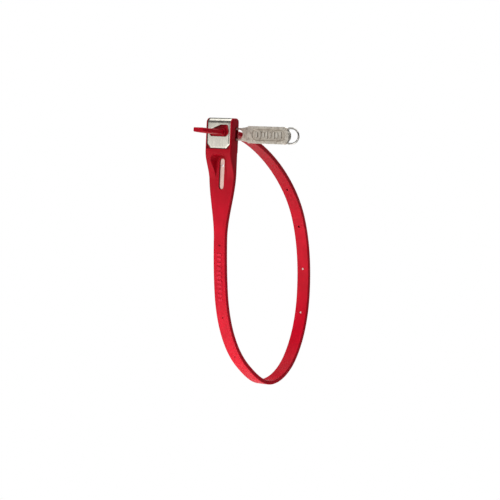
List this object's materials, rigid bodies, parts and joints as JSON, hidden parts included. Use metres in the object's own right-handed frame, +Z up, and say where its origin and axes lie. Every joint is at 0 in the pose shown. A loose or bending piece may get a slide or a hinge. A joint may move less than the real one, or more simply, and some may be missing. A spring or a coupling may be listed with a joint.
{
  "type": "reusable locking security tie with key",
  "caption": "Red nylon band with a steel core, closed into a loop by a square lock head, with a flat forked release key pushed into the side of the head.",
  "frame": {"origin": "inside of the loop at its top, on the band's inner face where it leaves the back of the lock head", "axes": "+X across the band, towards the key; +Y from the face plate into the loop; +Z up along the head, so the loop hangs down"},
  "size_m": [0.0677, 0.1278, 0.1736],
  "materials": {
    "red_nylon": "moulded red nylon, satin to glossy",
    "case_steel": "bent stainless sheet, satin",
    "core_steel": "rolled stainless strip",
    "lock_steel": "pressed and hardened steel",
    "key_metal": "cast metal with a dull plated surface"
  },
  "bodies": {
    "strap_loop": {"strap_sheath": "red_nylon", "steel_core": "core_steel", "core_rivet": "lock_steel", "lock_case": "case_steel", "lock_frame": "lock_steel", "pawl_pin": "lock_steel", "pawl_spring": "lock_steel"},
    "pawl": {"pawl": "lock_steel"},
    "key": {"key_body": "key_metal"},
    "key_ring": {"key_ring": "key_metal"}
  },
  "joints": [
    {"name": "key_slide", "type": "slide", "parent": "strap_loop", "child": "key", "axis": [1, 0, 0], "range_m": [0, 0.022]},
    {"name": "pawl_drop", "type": "hinge", "parent": "strap_loop", "child": "pawl", "pos_m": [0, -0.0024, 0.006], "axis": [1, 0, 0], "range_deg": [0, 30], "deforming": ["pawl_spring"]},
    {"name": "key_ring_swing", "type": "hinge", "parent": "key", "child": "key_ring", "pos_m": [0.0493, -0.0023, 0.00035], "axis": [0, 0, 1], "range_deg": [-85, 85]}
  ],
  "couplings": [
    {"joint": "pawl_drop", "follows": "key_slide", "rad_per_m": 23.79}
  ]
}
